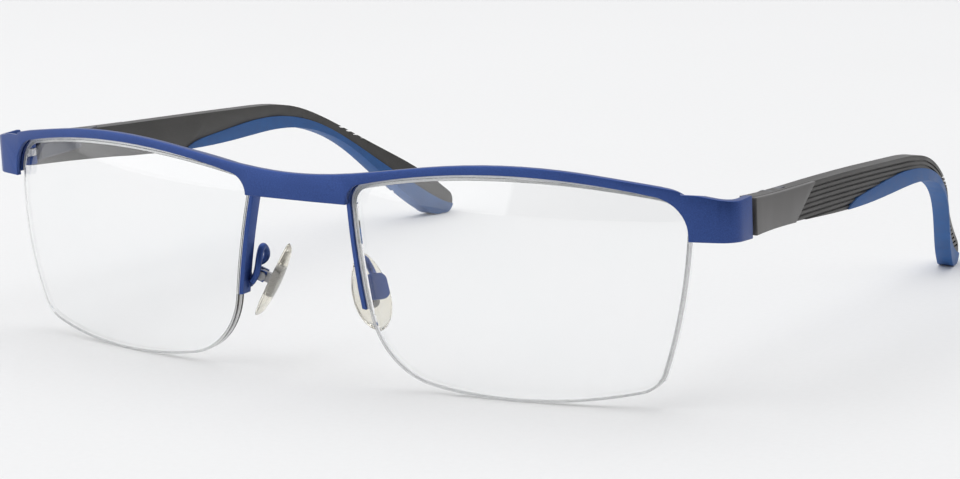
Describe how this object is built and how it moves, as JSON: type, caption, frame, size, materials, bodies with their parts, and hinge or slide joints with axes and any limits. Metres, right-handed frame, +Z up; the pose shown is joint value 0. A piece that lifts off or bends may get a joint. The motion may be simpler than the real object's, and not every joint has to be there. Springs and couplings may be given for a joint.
{
  "type": "eyeglasses",
  "caption": "Half-rim eyeglasses: blue metal brow bar, clear lenses hung on nylon cord, adjustable nose pads, and grooved dark temples with soft blue tips on spring hinges.",
  "frame": {"origin": "on the table plane, centred under the glasses as they stand on lenses and temple tips", "axes": "+X to the right seen from the front, +Y back along the temples, +Z up; the front faces -Y"},
  "size_m": [0.144, 0.1263, 0.0369],
  "materials": {
    "bar_blue": "satin blue lacquer",
    "nylon": "clear nylon",
    "lens_clear": "clear polished plastic lens",
    "silicone": "clear silicone, slightly yellowed",
    "steel": "plain steel",
    "temple_grey": "dark grey moulding",
    "plate_grey": "dark grey, smooth",
    "grip_blue": "soft blue rubber"
  },
  "bodies": {
    "front": {"brow_bar": "bar_blue", "rim_wire_left": "bar_blue", "rim_wire_right": "bar_blue", "rim_liner_left": "nylon", "rim_liner_right": "nylon", "lens_left": "lens_clear", "lens_right": "lens_clear", "nylon_cord_left": "nylon", "nylon_cord_right": "nylon", "pad_arm_left": "bar_blue", "pad_arm_right": "bar_blue", "pad_box_left": "bar_blue", "pad_box_right": "bar_blue", "pad_screw_left": "steel", "pad_screw_right": "steel", "hinge_front_left": "bar_blue", "hinge_front_right": "bar_blue", "hinge_screw_left": "steel", "hinge_screw_right": "steel"},
    "pad_left": {"nose_pad_left": "silicone", "pad_insert_left": "steel"},
    "tongue_left": {"hinge_tongue_left": "steel", "spring_nut_left": "steel"},
    "temple_left": {"temple_left": "temple_grey", "temple_plate_left": "plate_grey", "temple_grip_left": "grip_blue", "spring_case_left": "steel", "case_rivets_left": "steel", "flex_spring_left": "steel"},
    "pad_right": {"nose_pad_right": "silicone", "pad_insert_right": "steel"},
    "tongue_right": {"hinge_tongue_right": "steel", "spring_nut_right": "steel"},
    "temple_right": {"temple_right": "temple_grey", "temple_plate_right": "plate_grey", "temple_grip_right": "grip_blue", "spring_case_right": "steel", "case_rivets_right": "steel", "flex_spring_right": "steel"}
  },
  "joints": [
    {"name": "pad_rock_left", "type": "hinge", "parent": "front", "child": "pad_left", "pos_m": [-0.01112, -0.05697, 0.01495], "axis": [0.462, -0.8868, 0.0138], "range_deg": [-8, 8]},
    {"name": "temple_hinge_left", "type": "hinge", "parent": "front", "child": "tongue_left", "pos_m": [-0.0682, -0.04571, 0.02901], "axis": [0, 0.0332, -0.9995], "range_deg": [-10, 87]},
    {"name": "spring_travel_left", "type": "slide", "parent": "tongue_left", "child": "temple_left", "axis": [0, 0.9995, 0.0332], "range_m": [0, 0.0008], "stiffness_N_per_m": 300, "springref_m": -0.003, "deforming": ["flex_spring_left"]},
    {"name": "pad_rock_right", "type": "hinge", "parent": "front", "child": "pad_right", "pos_m": [0.01112, -0.05697, 0.01495], "axis": [-0.462, -0.8868, 0.0138], "range_deg": [-8, 8]},
    {"name": "temple_hinge_right", "type": "hinge", "parent": "front", "child": "tongue_right", "pos_m": [0.0682, -0.04571, 0.02901], "axis": [0, -0.0332, 0.9995], "range_deg": [-10, 83]},
    {"name": "spring_travel_right", "type": "slide", "parent": "tongue_right", "child": "temple_right", "axis": [0, 0.9995, 0.0332], "range_m": [0, 0.0008], "stiffness_N_per_m": 300, "springref_m": -0.003, "deforming": ["flex_spring_right"]}
  ]
}
